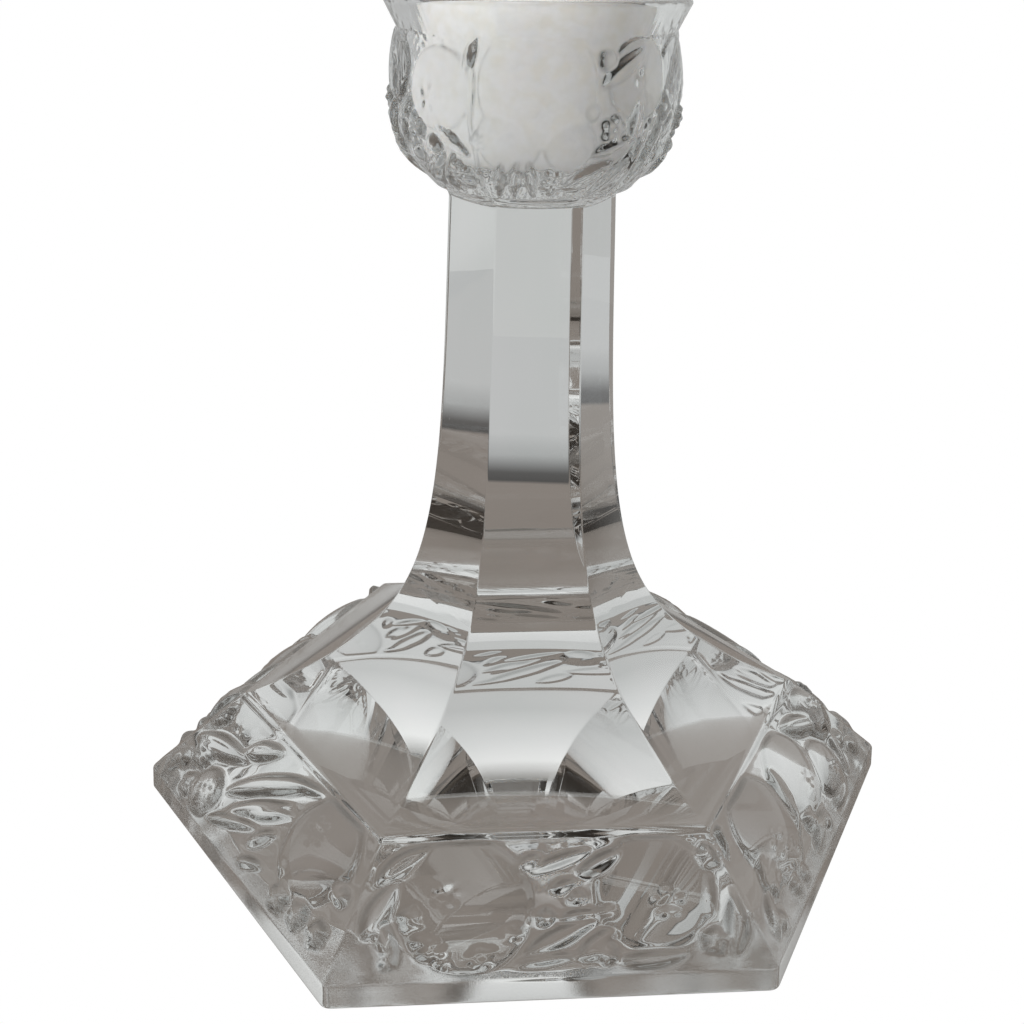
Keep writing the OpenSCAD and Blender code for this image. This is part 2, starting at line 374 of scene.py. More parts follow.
def fruit(x, y, cx, cy, radius, rise, turn=0.0, edge=0.45):
    """Low cap of a sphere, sqrt(ball^2 - d^2) - (ball - cap), on a soft step of the height
    edge. A small dimple in a ring of five short calyx points, cos^4 of 2.5 times the
    angle, is set off the crown by 0.3 radius in the direction of turn."""
    cap = 0.7 * rise
    ball = (radius ** 2 + cap ** 2) / (2 * cap)
    d = np.hypot(x - cx, y - cy)
    dome = np.sqrt(np.maximum(ball ** 2 - d ** 2, 0)) - (ball - cap)
    dome += edge * step_up(radius - d, 0.7)
    sx, sy = cx + 0.3 * radius * math.cos(turn), cy + 0.3 * radius * math.sin(turn)
    q, a = np.hypot(x - sx, y - sy), np.arctan2(y - sy, x - sx)
    points = (0.5 + 0.5 * np.cos(5 * (a - turn))) ** 2 * np.exp(-((q - 1.5) / 0.75) ** 2)
    calyx = (0.35 * points - 0.3 * np.exp(-(q / 1.4) ** 2)) * min(rise / 2.6, 1)
    return np.where(d < radius, dome + calyx, HIDDEN)


def leaf(x, y, x0, y0, length, width, turn, bend, rise):
    """Blade from its root at (x0, y0), u running from 0 to 1 over its length and t across.
    Its half width is h = w/2 sin(pi u^0.85). Its top is 1 - |t/h|^3, falling to both ends
    by sin(pi u^0.9)^0.35, less a fine groove for the rib."""
    a = math.radians(turn)
    s = (x - x0) * math.cos(a) + (y - y0) * math.sin(a)
    u = np.clip(s / length, 0, 1)
    t = (y - y0) * math.cos(a) - (x - x0) * math.sin(a) - bend * length * u * (1 - u)
    half = width / 2 * np.sin(math.pi * u ** 0.85) + 1e-6
    blade = rise * (1 - np.abs(t / half) ** 3) * np.sin(math.pi * u ** 0.9) ** 0.35
    rib = 0.35 * np.exp(-(t / 0.4) ** 2) * (width > 2.4)
    inside = (np.abs(t) < half) & (s > 0) & (s < length)
    return np.where(inside, blade - rib, HIDDEN)


def blossom(x, y, cx, cy, radius, turn, rise):
    """Five round petals with a soft step at the edge r (0.74 + 0.26 |cos 2.5 a|), and a low
    button in the middle."""
    q, a = np.hypot(x - cx, y - cy), np.arctan2(y - cy, x - cx)
    wave = np.abs(np.cos(2.5 * (a - turn)))
    edge = radius * (0.74 + 0.26 * wave)
    petals = rise * (0.6 + 0.2 * wave) * step_up(edge - q, 0.9)
    button = rise * np.sqrt(np.maximum(1 - (q / (0.34 * radius)) ** 2, 0))
    return np.where(q < edge, np.maximum(petals, button), HIDDEN)


def berry(x, y, cx, cy, radius, rise):
    """Cap of a sphere of that radius and rise: sqrt(ball^2 - q^2) - (ball - rise)."""
    ball = (radius ** 2 + rise ** 2) / (2 * rise)
    q = np.hypot(x - cx, y - cy)
    cap = np.sqrt(np.maximum(ball ** 2 - q ** 2, 0)) - (ball - rise)
    return np.where(q < radius, cap, HIDDEN)


FORMS = {"fruit": fruit, "leaf": leaf, "blossom": blossom, "berry": berry}


def carve(x, y, forms):
    """Height map of a list of forms: the highest one at each point, and never below the
    ground, which has a very slight ripple."""
    ripple = 0.02 * np.sin(x * 1.9 + 0.8 * np.sin(y * 1.3)) * np.sin(y * 2.3 + np.sin(x * 0.9))
    ground = 0.12 + ripple
    return np.maximum.reduce([ground] + [FORMS[kind](x, y, *sizes) for kind, *sizes in forms])


def softened(height, passes):
    """Blur by (1, 2, 1) / 4 around the columns and up the rows, that many times."""
    for _ in range(passes):
        left, right = np.roll(height, 1, axis=1), np.roll(height, -1, axis=1)
        height = (left + 2 * height + right) / 4
        low = np.concatenate([height[:1], height[:-1]])
        high = np.concatenate([height[1:], height[-1:]])
        height = (low + 2 * height + high) / 4
    return height


def steep(height, up_step, along_step):
    """How steep the height map is, from 0 for level to 1: 1 - exp(-(slope / 0.8)^2), where
    slope is the length of the gradient in mm per mm, and the steps are a row's and a
    column's width in mm."""
    climb = np.gradient(height, axis=0) / up_step
    aside = (np.roll(height, -1, axis=1) - np.roll(height, 1, axis=1)) / (2 * along_step)
    return 1 - np.exp(-(np.hypot(climb, aside) / 0.8) ** 2)


def paint_flank_shade(body, grid, first, flanks):
    """Writes the steepness of the rows from first on into the mesh as painted shade, which
    darkens the crystal on the relief's flanks. It is 0 elsewhere and at the two middles of the
    fans."""
    values = np.zeros(grid.shape[:2])
    values[first:first + len(flanks)] = flanks
    mark = body.data.attributes.new("painted_flank_shade", "FLOAT", "POINT")
    mark.data.foreach_set("value", np.append(values, [0.0, 0.0]))


# %% [markdown]
# ## Drawings for the foot
# A mould cutter works from a drawing of each side. A sculpted mesh or a painted picture
# could stand in for it, but a short list of forms can be read and changed. Each form has
# its place and sizes in mm, with x from the middle of the side and y up the band:
# a fruit has x, y, radius, rise and turn; a leaf has the x and y of its root, length,
# width, turn in degrees, bend and rise; a blossom has x, y, radius, turn and rise; and a
# berry has x, y, radius and rise. Three drawings share the six sides, so the band repeats
# as loosely as a mould's does.

# %% The drawings of the six sides of the foot: x from the middle, y up the band, in mm
fruit_front = [
    ("fruit", -14.5, 12.3, 12.0, 3.0, 2.6), ("fruit", 18.0, 13.6, 10.6, 2.8, -0.9),
    ("leaf", -29.5, 16.2, 12, 4.4, 34, 0.08, 1.7), ("leaf", -32.0, 6.5, 13, 4.6, 58, 0.10, 1.7),
    ("leaf", -26.5, 2.2, 10, 3.4, 108, 0.05, 1.4), ("leaf", -5.2, 18.6, 5, 2.6, 22, 0.0, 1.4),
    ("leaf", -3.4, 17.6, 12, 1.9, 18, 0.05, 1.5), ("leaf", 5.0, 16.8, 10, 3.2, 30, -0.14, 2.0),
    ("leaf", 0.4, 14.2, 5, 2.0, 20, 0.0, 1.3), ("leaf", 1.6, 9.2, 7, 2.2, 8, 0.1, 1.6),
    ("leaf", 7.2, 9.8, 7.5, 2.6, 8, 0.1, 1.7), ("leaf", -6.0, 1.8, 11, 2.0, 6, 0.1, 1.4),
    ("leaf", -5.0, 3.2, 15, 3.6, 24, 0.05, 1.9), ("leaf", 4.2, 2.0, 9, 4.0, 40, -0.1, 1.6),
    ("leaf", 31.0, 1.6, 14, 4.4, 82, -0.06, 1.6), ("leaf", 27.6, 8.0, 10, 1.3, 88, 0.02, 1.3),
    ("leaf", 33.0, 13.0, 8, 3.0, 70, 0.1, 1.3), ("leaf", 11.0, 1.8, 13, 3.0, 5, -0.12, 1.6),
    ("blossom", -23.5, 10.3, 2.7, 0.3, 2.4), ("blossom", -20.5, 5.8, 3.4, 0.3, 2.2),
    ("blossom", -12.5, 4.2, 3.2, 1.2, 2.1), ("blossom", -7.2, 7.4, 2.5, 0.7, 1.9),
    ("blossom", -0.8, 9.6, 2.1, 0.2, 1.7), ("blossom", 9.2, 3.2, 2.4, 0.8, 1.8),
    ("blossom", 28.0, 19.4, 2.6, 0.5, 1.7), ("blossom", 27.8, 4.6, 2.8, 0.1, 1.7),
    ("berry", -27.8, 3.0, 1.5, 1.4), ("berry", -18.6, 2.8, 1.6, 1.3),
    ("berry", 4.8, 12.8, 1.5, 1.2)]
leaf_side = [
    ("fruit", 18.5, 14.6, 10.4, 2.9, 2.2), ("fruit", -18.0, 5.5, 5.2, 2.4, 0.6),
    ("leaf", -13.5, 8.0, 27, 4.6, 33, 0.16, 2.3), ("leaf", -5.5, 16.5, 18, 2.6, 20, 0.12, 2.0),
    ("leaf", -9.5, 5.6, 19, 3.4, 36, 0.08, 2.0), ("leaf", -3.6, 8.6, 13, 3.0, 32, 0.10, 1.9),
    ("leaf", -14.0, 1.6, 18, 2.6, 24, 0.10, 1.8), ("leaf", -32.0, 11.5, 20, 5.4, 13, 0.05, 1.7),
    ("leaf", -16.0, 16.5, 12, 4.4, 30, 0.10, 1.7), ("leaf", 1.0, 4.8, 8, 2.8, 50, 0.05, 1.7),
    ("leaf", 1.5, 1.2, 8, 2.4, 24, 0.1, 1.5), ("leaf", -33.5, 1.8, 8, 3.0, 70, 0.1, 1.4),
    ("blossom", -25.8, 10.3, 3.6, 0.4, 1.9), ("blossom", -29.0, 19.0, 3.4, 1.0, 1.7),
    ("blossom", -24.0, 3.6, 3.0, 0.2, 1.7), ("blossom", 17.2, 3.4, 3.2, 0.5, 2.0),
    ("blossom", 23.8, 4.0, 3.0, 0.1, 2.0), ("blossom", 30.2, 4.4, 2.8, 0.8, 1.9),
    ("berry", -30.5, 6.2, 2.0, 1.4), ("berry", 14.0, 8.2, 2.2, 1.6),
    ("berry", 29.6, 12.2, 2.0, 1.4)]
berry_side = [
    ("fruit", -15.0, 14.2, 10.8, 2.9, -2.2), ("fruit", 4.6, 14.6, 9.0, 2.6, -1.2),
    ("fruit", 25.6, 17.0, 6.4, 2.6, 0.8), ("fruit", 15.6, 8.2, 6.6, 2.2, -0.6),
    ("leaf", -7.0, 6.8, 15, 5.6, 68, 0.05, 2.2), ("leaf", 11.0, 21.5, 17, 5.0, -26, 0.06, 1.9),
    ("leaf", -30.5, 17.5, 10, 3.6, 58, 0.1, 1.6), ("leaf", -28.0, 8.5, 12, 3.4, 30, 0.1, 1.6),
    ("leaf", 21.5, 2.2, 12, 3.6, 64, 0.1, 1.6), ("leaf", -6.5, 1.8, 13, 3.2, 14, 0.12, 1.6),
    ("leaf", 8.5, 2.2, 12, 2.6, 4, -0.10, 1.6), ("leaf", -33.5, 1.6, 10, 3.6, 48, 0.12, 1.5),
    ("blossom", -24.5, 8.6, 3.4, 0.5, 1.8), ("blossom", -12.6, 8.8, 2.8, 0.1, 2.2),
    ("blossom", -1.2, 6.2, 2.8, 0.9, 1.8), ("blossom", 4.2, 9.8, 2.6, 0.8, 2.4),
    ("berry", -29.5, 3.2, 2.0, 1.4), ("berry", -19.0, 3.4, 2.0, 1.4),
    ("berry", -14.4, 2.8, 1.8, 1.3), ("berry", 27.6, 8.4, 2.2, 1.5),
    ("berry", 30.4, 4.6, 2.0, 1.4), ("berry", 3.4, 3.2, 2.0, 1.4)]
foot_drawings = [fruit_front, berry_side, leaf_side, leaf_side, berry_side, leaf_side]
print("forms per side:", [len(drawing) for drawing in foot_drawings])

# %% [markdown]
# ## The foot
# The foot is one skin: a shallow dish underneath, a flat ring to stand on, the plinth, the
# band with its relief, the bead on the ridge, and the plain facets. The relief could be
# a displacement modifier with a picture, but adding the height map to the grid itself
# keeps it exact and puts it into the mesh. The dish matters for the looks: its curved
# floor turns the light inside the foot, which gives the bright and dark fields.

# %% Outline of the foot above the ground: ring, plinth, band, bead and facets
per_side, per_corner = 130, 4
foot_section = hexagon_section(per_side, per_corner)
band_rows = 64
bead_rise = 0.34
ring_start = np.array([74.0, 0.0])
edge_low = soft_corner(ring_start, ground_edge, plinth_edge, 0.5)
edge_high = soft_corner(ground_edge, plinth_edge, ridge_outer, 0.45)
plinth = straight(edge_low[-1], edge_high[0], 4)[:-1]
across_ridge = ridge_inner - ridge_outer
off_ridge = np.array([across_ridge[1], -across_ridge[0]]) / np.linalg.norm(across_ridge)
t = np.linspace(0, 1, 7)[:, None]
bead = ridge_outer + across_ridge * t + off_ridge * bead_rise * 4 * t * (1 - t)
band = straight(edge_high[-1], bead[0], band_rows)[:-1]
foot_outline = np.concatenate([[ring_start], edge_low, plinth, edge_high, band, bead, foot_facet])
arris_heights, arris_rounds = [0, 4.6, 21, 45], [2.2, 1.6, 1.0, 0.4]
foot_arris = np.interp(foot_outline[:, 1], arris_heights, arris_rounds)
foot_grid = six_sided(foot_outline, foot_arris, foot_section)
print("outline of the foot:", len(foot_outline), "rows,", len(band), "of them on the band")

# %% The dish under the foot: the cap of a ball inside the flat ring
ring_wide, dish_depth = 7.0, 7.0
dish_r = plinth_edge[0] * FLAT - ring_wide
ball_r = (dish_r ** 2 + dish_depth ** 2) / (2 * dish_depth)
dish_rows = np.array([10, 20, 30, 40, 48, 54, dish_r - 0.5, dish_r, dish_r + 0.5])
dish_z = dish_depth - ball_r + np.sqrt(ball_r ** 2 - np.minimum(dish_rows, dish_r) ** 2)
dish_z[-2] += 0.04  # the edge of the dish is eased, as grinding leaves it
around = foot_grid[0, :, :2] / np.linalg.norm(foot_grid[0, :, :2], axis=1, keepdims=True)
dish_grid = np.concatenate([
    dish_rows[:, None, None] * around,
    np.broadcast_to(dish_z[:, None, None], (len(dish_rows), len(around), 1))], axis=2)
print(f"dish: {2 * dish_r:.1f} mm across, {dish_depth} mm deep, ball of {ball_r:.0f} mm radius")

# %% Relief of the foot, raised square to the band
directions, side_of, place = foot_section[1:]
first = 1 + len(edge_low) + len(plinth) + len(edge_high)
last = first + len(band)
band_length = np.linalg.norm((plinth_edge - ridge) * [FLAT, 1])
up_band = np.linspace(0, band_length, len(band) + 2)[1:-1]
along = place * (band[:, 0] / 2)[:, None]
up = np.broadcast_to(up_band[:, None], along.shape)
height = np.zeros_like(along)
for side in range(6):
    mine = side_of == side
    height[:, mine] = carve(along[:, mine], up[:, mine], foot_drawings[side])
height = softened(height, 2)
edge_reach, corner_reach = 1.0, 1.2  # mm over which the relief dies out
corner_share = 0.15  # of the relief, left on the arrises
edge_fade = np.clip(np.minimum(up_band, band_length - up_band) / edge_reach, 0, 1)[:, None]
corner_fade = np.clip(((band[:, 0] / 2)[:, None] - np.abs(along)) / corner_reach, 0.0, 1)
height *= edge_fade * (corner_share + (1 - corner_share) * corner_fade)
lean = math.atan2((plinth_edge[0] - ridge[0]) * FLAT, ridge[1] - plinth_edge[1])
out = np.concatenate([directions * math.cos(lean),
                      np.full((len(directions), 1), math.sin(lean))], axis=1)
foot_grid[first:last] += height[:, :, None] * out
print(f"relief of the foot: {height.min():.2f} to {height.max():.2f} mm")

# %% The foot's skin, with the ground ring and the hidden joint face
foot_grid = np.concatenate([dish_grid, foot_grid])
below, rows = len(dish_grid), len(foot_grid)
foot = closed_skin("pressed_foot", foot_grid, [0, 0, dish_depth], [0, 0, joint_low[1]],
                   sharp_rows=[rows - 1], materials=[crystal, joint_clear, ground],
                   row_material=[0] * below + [2] + [0] * (rows - below - 1) + [1])
foot_steps = band_length / (len(band) + 1), band[:, :1] / per_side
# painted shade: the steep flanks of the foot's relief darken the crystal's colour
paint_flank_shade(foot, foot_grid, below + first, steep(height, *foot_steps))

# %% [markdown]
# ## The stem
# The stem carries the same six-sided section up a curved outline. A cylinder with six
# sides and a bevel would do for a straight one, but this one flares all the way, and one
# outline keeps its sides smooth. Its arrises are tight, since they are what draws the long
# straight lines inside the glass.

# %% The stem
stem_section = hexagon_section(14, 4)
stem_round = 0.35
stem_outline = np.concatenate([[joint_high], stem_side])
stem_grid = six_sided(stem_outline, np.full(len(stem_outline), stem_round), stem_section)
rows = len(stem_outline)
stem = closed_skin("pressed_stem", stem_grid, [0, 0, joint_high[1]], [0, 0, stem_top[1]],
                   sharp_rows=[0, rows - 1], materials=[crystal, joint_clear],
                   row_material=[1] + [0] * (rows - 1) + [1])

# %% [markdown]
# ## The bond films
# Foot, stem and cup are joined by a film of clear cement a fifth of a millimetre thick.
# It has the crystal on its thin rim and the clear joint material on both its faces, so
# that the seam is all but lost, as on a good joint. Plain discs would show at the corners,
# so each film has the stem's own six-sided section.


# %% The bond films
def bond(name, low, high):
    """Film with the stem's own section, from the outline point low to the point high."""
    outline = np.stack([low, high])
    grid = six_sided(outline, np.full(2, stem_round), stem_section)
    return closed_skin(name, grid, [0, 0, low[1]], [0, 0, high[1]], sharp_rows=[0, 1],
                       materials=[crystal, joint_clear], row_material=[1, 0, 1])


film_thick = 0.2
cup_foot_z = stem_top[1] + film_thick
foot_bond = bond("foot_bond_film", joint_low, joint_high)
cup_bond = bond("cup_bond_film", stem_top, np.array([stem_top[0], cup_foot_z]))

# %% [markdown]
# ## The cup
# The cup starts six-sided on the stem and turns round within a few millimetres. Its wall
# bulges to a belly, draws in to a groove and flares to a plain lip. Spin could turn the
# outline, but a grid also takes the relief, which grows out of the wall along the radius.
# Between the fruits the mould was stippled with a punch, which a little random grain
# stands for, and a fine ridge marks where the mould parts.

# %% Outline of the cup: wall, lip and socket
socket_r, socket_floor, rim_z = 20.0, 127.0, 152.0
seat = np.array([15.0, cup_foot_z])
heel = np.array([21.2, 127.0])
belly = np.array([23.7, 137.2])
waist = np.array([23.2, 147.0])
outside = np.concatenate([
    [seat],
    cubic(seat, seat + step_at(2.5, 65), heel - step_at(3.6, 60), heel, 36),
    cubic(heel, heel + step_at(3.6, 60), belly - [0, 4], belly, 40),
    cubic(belly, (belly + waist) / 2, waist - [0, 0.5], waist, 36)])
quarter = np.radians(np.linspace(0, 90, 7))[:, None]
quarter_round = np.hstack([np.cos(quarter), np.sin(quarter)])
lip_round = 0.9
lip = np.array([24.5, rim_z - lip_round]) + lip_round * quarter_round
mouth = np.array([socket_r, rim_z])
mouth_edge = soft_corner(mouth + [4.0, 0], mouth, mouth - [0, 5.0], 0.8)
corner = np.array([socket_r, socket_floor])
socket = np.concatenate([
    straight(mouth_edge[-1], corner + [0, 0.5], 8),
    soft_corner(corner + [0, 13.0], corner, corner - [socket_r, 0], 0.5)[1:],
    [[19.0, socket_floor], [8.0, socket_floor]]])
cup_outline = np.concatenate([outside, lip, mouth_edge, socket])
print("outline of the cup:", len(cup_outline), "rows,", len(outside), "of them on the wall")

# %% The drawing of the cup: x around the wall from the front, y up from its lower edge
cup_drawing = [
    ("fruit", -2.0, 18.8, 9.9, 1.5, -1.3, 0.4), ("fruit", -19.0, 17.8, 6.8, 1.3, -2.4, 0.4),
    ("fruit", -6.5, 10.6, 5.6, 1.3, 2.0, 0.4), ("fruit", 3.4, 10.0, 4.6, 1.2, 0.4, 0.4),
    ("fruit", 15.5, 19.6, 6.6, 1.2, 2.6, 0.4), ("fruit", 26.0, 20.4, 5.8, 1.2, -2.0, 0.4),
    ("leaf", 8.0, 18.6, 11, 3.4, 34, 0.05, 1.9), ("leaf", 14.6, 9.8, 8.5, 3.0, 84, 0.05, 1.7),
    ("leaf", 6.6, 8.4, 8.5, 2.2, 20, -0.12, 1.8), ("leaf", 3.2, 2.8, 10.5, 3.4, 28, -0.08, 1.9),
    ("leaf", 9.0, 1.0, 10, 2.2, 50, -0.14, 1.7), ("leaf", 12.6, 1.2, 11, 2.2, 66, -0.10, 1.7),
    ("leaf", 18.0, 1.0, 14, 3.2, 72, 0.10, 1.6), ("leaf", 20.0, 8.5, 10, 2.8, 50, -0.1, 1.6),
    ("leaf", -10.0, 1.0, 8, 2.0, 68, 0.05, 1.7), ("leaf", -6.6, 1.0, 8, 2.2, 76, 0.05, 1.7),
    ("leaf", -2.2, 1.2, 7.5, 2.2, 100, 0.0, 1.6), ("leaf", -13.4, 7.6, 9, 2.6, 140, 0.08, 1.6),
    ("leaf", -20.6, 1.6, 8, 2.4, 60, -0.1, 1.6), ("leaf", -26.0, 2.0, 10, 3.0, 40, 0.1, 1.6),
    ("leaf", -30.0, 8.0, 11, 3.2, 62, 0.1, 1.6), ("leaf", -13.8, 20.5, 6, 2.2, 70, 0.1, 1.5),
    ("blossom", -16.4, 4.6, 2.8, 0.3, 1.7), ("blossom", 1.2, 4.0, 2.6, 0.9, 1.7),
    ("blossom", 10.6, 12.4, 2.6, 0.1, 1.8), ("blossom", -11.4, 10.4, 2.0, 0.6, 1.6),
    ("blossom", 22.4, 15.0, 2.6, 0.6, 1.7), ("blossom", -24.6, 12.0, 2.6, 0.2, 1.6),
    ("berry", -20.8, 9.0, 1.9, 1.4), ("berry", 6.4, 15.2, 1.7, 1.2),
    ("berry", 9.2, 22.6, 1.8, 1.3), ("berry", 23.6, 7.6, 2.0, 1.4),
    ("berry", -26.4, 7.4, 1.9, 1.3)]
girth = 24.0  # radius at which the drawing is wrapped around the cup
half_way = 75  # mm around the wall from the front to the back
drawn_to = 31  # mm around the wall that the drawing fills to either side
shifts = (-58.0, 58.0)  # the same drawing again to the left and to the right
cup_drawing += [(kind, x + shift, *sizes) for shift in shifts
                for kind, x, *sizes in cup_drawing if drawn_to < abs(x + shift) < half_way]
print("forms around the cup:", len(cup_drawing))

# %% The plain cup: six-sided on the stem, round a few millimetres above it
cup_columns = 640
cup_grid = lathe(cup_outline, cup_columns)
around_cup = np.linspace(0, 2 * math.pi, cup_columns, endpoint=False)
off_side = (around_cup + math.pi / 6) % (math.pi / 3) - math.pi / 6
# Near the stem the cup has the stem's own six sides, with arrises cut by 0.05 mm.
hexagon_r = np.minimum(stem_top[0] * FLAT / np.cos(off_side), stem_top[0] - 0.05)
round_after = 2.6  # mm above its foot
rise_up = np.clip((outside[:, 1] - cup_foot_z) / round_after, 0, 1)[:, None]
share = rise_up ** 2 * (3 - 2 * rise_up)
cup_r = hexagon_r * (1 - share) + outside[:, :1] * share
print(f"cup: {2 * cup_r.max():.1f} mm across its belly")

# %% Relief of the cup, with the punched ground and the seam of the mould
drawing_z = 121.0
relief_low, relief_high = 120.6, 147.4  # heights between which the wall has relief
seam_at, seam_rise, seam_wide = -12.6, 0.45, 0.32
grain = 0.34  # mm, of the punched ground between the fruits
wall_z = outside[:, 1]
along = np.broadcast_to((around_cup + math.pi) % (2 * math.pi) - math.pi, cup_r.shape) * girth
up = np.broadcast_to(outside[:, 1:], cup_r.shape) - drawing_z
bare = carve(along, up, cup_drawing)
fruits = carve(along, up, [form for form in cup_drawing if form[0] == "fruit"])
tooled = softened(np.random.default_rng(7).uniform(-1, 1, bare.shape), 2)
deeper = 1 + 0.3 * np.clip((9.0 - up) / 6.0, 0, 1)  # the lowest leaves are cut deeper
cup_height = softened(deeper * bare + grain * tooled * (fruits < 0.3), 1)
off_seam = along - seam_at + 0.25 * np.sin(up * 0.6)
cup_height += seam_rise * np.exp(-(off_seam / seam_wide) ** 2)
cup_height *= (np.clip((wall_z - relief_low) / 1.2, 0, 1)
               * np.clip((relief_high - wall_z) / 0.9, 0, 1))[:, None]
outward = np.stack([np.sin(around_cup), -np.cos(around_cup)], axis=1)
cup_grid[:len(outside), :, :2] = (cup_r + cup_height)[:, :, None] * outward
print(f"relief of the cup: {cup_height.min():.2f} to {cup_height.max():.2f} mm")

# %% The cup's skin; the painted shade on its flanks is weaker than the foot's
cup = closed_skin("pressed_cup", cup_grid, [0, 0, cup_foot_z], [0, 0, socket_floor],
                  sharp_rows=[0], materials=[crystal, joint_clear],
                  row_material=[1] + [0] * len(cup_outline))
row_step = np.gradient(np.append(0, np.cumsum(np.hypot(*np.diff(outside, axis=0).T))))
column_step = 2 * math.pi * girth / cup_columns
# painted shade on the cup's flanks: how strong it is at each height of the wall
flank_shade_strength = 0.72 * np.clip((146.2 - wall_z) / 1.5, 0, 1)  # nothing in the groove
flank_shade_strength *= np.clip(wall_z / 9 - 13.4, 0.35, 1)  # and little on the lowest part
paint_flank_shade(cup, cup_grid, 0, flank_shade_strength[:, None] * steep(cup_height, row_step[:, None], column_step))

# %% [markdown]
# ## The candle and its wick
# A cast pillar candle has a rounded top edge and a shallow pool around the wick, where the
# wax shrank as it set. Above the cup its wall is very slightly uneven from handling. The
# wick is a plait. Strands of their own would have to be led over and under each other, so
# here two families of waves wind round it in opposite directions, and the higher of the
# two shows at each point.

# %% The candle
candle_r, candle_top, candle_floor = 19.5, 187.0, socket_floor + 0.05
candle_edge = 2.0  # radius of the rounded top edge
candle_side = np.array([[candle_r, candle_floor + 0.5], [candle_r, candle_top - candle_edge]])
pool_deep, pool_wide, creep = 0.7, 15, 0.45  # the wax sinks to a pool and creeps up the wick
core_r, strand_r = 0.86, 0.24
wick_r = core_r + strand_r
pool_r = np.linspace(candle_r - candle_edge, wick_r + 0.05, 16)[1:]
pool = creep * np.exp(-(pool_r - wick_r) / 0.5)
pool -= pool_deep * np.clip(1 - pool_r / pool_wide, 0, 1) ** 0.7
candle_outline = np.concatenate([
    [[10.0, candle_floor], [18.6, candle_floor], [19.2, candle_floor + 0.1]],
    candle_side[:1], straight(*candle_side, 40),
    (candle_side[1] - [candle_edge, 0] + candle_edge * quarter_round)[1:],
    np.stack([pool_r, candle_top + pool], axis=1)])
candle_columns = 192
candle_grid = lathe(candle_outline, candle_columns)
candle_turn = np.linspace(0, 2 * math.pi, candle_columns, endpoint=False)
handmade = 0.05 * np.sin(3 * candle_turn + 0.8)  # mm out of round, in three soft waves
above = np.clip((candle_outline[:, 1] - rim_z) / 10, 0, 1) * (candle_outline[:, 0] > 18)
candle_grid[:, :, :2] *= 1 + above[:, None, None] * handmade[:, None] / candle_r
candle = closed_skin("wax_candle", candle_grid, [0, 0, candle_floor],
                     [0, 0, candle_top - 0.2], materials=[wax])

# %% The wick
wick_low, wick_high = 131.0, 196.0
strands = 3  # each way round
wave_high = 3.6  # mm of height in one wave; a strand is round the wick after 1.5 of them
wick_z = np.concatenate([[wick_low], np.linspace(185.5, 195.5, 90), [195.85, wick_high]])
wick_turn = np.linspace(0, 2 * math.pi, 48, endpoint=False)
climb = 2 * math.pi * wick_z[:, None] / wave_high
one_way = np.abs(np.cos(strands / 2 * wick_turn[None, :] - climb))
other_way = np.abs(np.cos(strands / 2 * wick_turn[None, :] + climb))
plait = core_r + strand_r * np.maximum(one_way, other_way) ** 0.6
plait *= np.interp(wick_z, [195.5, wick_high], [1.0, 0.55])[:, None]
wick_grid = np.concatenate([
    plait[:, :, None] * np.stack([np.sin(wick_turn), -np.cos(wick_turn)], axis=1),
    np.broadcast_to(wick_z[:, None, None], plait.shape + (1,))], axis=2)
wick = closed_skin("cotton_wick", wick_grid, [0, 0, wick_low], [0, 0, wick_high],
                   materials=[cotton])
print(f"wick: plait {2 * plait.min():.2f} to {2 * plait.max():.2f} mm thick")

# %% [markdown]
# ## What moves with what
# Each piece rides on a body of the moving model and stands in for the solid of the same
# name, so the candle and its wick lift out together and the glass stays. Parenting by hand
# would do the same, but then each pose would have to be set up again.

# %% What rides and what it stands for
for piece, node, slot in ((foot, "foot", "crystal"), (stem, "stem", "crystal"),
                          (cup, "candle_cup", "crystal"), (foot_bond, "foot_bond", "bond"),
                          (cup_bond, "cup_bond", "bond")):
    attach(piece, "holder")
    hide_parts(node)
for piece, node, slot in ((candle, "candle", "wax"), (wick, "wick", "cotton")):
    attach(piece, "candle")
    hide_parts(node)

# %% [markdown]
# ## The camera
# The camera stands a little over a quarter of a metre away and looks down at the foot by
# about 24 degrees. It could be aimed by a Track To constraint, but that can't roll it. So
# its lens is given as a focal length in pixels, and its turn, drop and roll in degrees,
# which together make the axes of the camera.

# %% The camera
camera_data = bpy.data.cameras.new("camera")
camera = bpy.data.objects.new("camera", camera_data)
scene.collection.objects.link(camera)
scene.camera = camera
PICTURE_WIDTH = 1024  # pixels; the three values of the lens are in pixels too
focal_px, principal_x, principal_y = 1359.44, 496.42, 520.13
camera_turn, camera_drop, camera_roll = 4.4459, 23.6947, 0.8573
camera_spot = np.array([-5.464, -238.573, 162.490])  # mm, before the turn
camera_data.sensor_width = 36
camera_data.lens = focal_px / PICTURE_WIDTH * 36
camera_data.shift_x = (PICTURE_WIDTH / 2 - principal_x) / PICTURE_WIDTH
camera_data.shift_y = (principal_y - PICTURE_WIDTH / 2) / PICTURE_WIDTH
camera_data.clip_start = 0.01
turn, drop, roll = (math.radians(v) for v in (camera_turn, camera_drop, camera_roll))
turn_back = np.array([[math.cos(turn), math.sin(turn), 0],
                      [-math.sin(turn), math.cos(turn), 0], [0, 0, 1]])
forward = turn_back @ np.array([0, math.cos(drop), -math.sin(drop)])
right = turn_back @ np.array([1.0, 0, 0])
up = np.cross(right, forward)
right_rolled = math.cos(roll) * right + math.sin(roll) * up
up_rolled = math.cos(roll) * up - math.sin(roll) * right
standing = np.eye(4)
standing[:3] = np.stack([right_rolled, up_rolled, -forward, turn_back @ camera_spot * MM], axis=1)
camera.matrix_world = Matrix(standing.tolist())
print("camera at", (turn_back @ camera_spot).round(1), "mm")

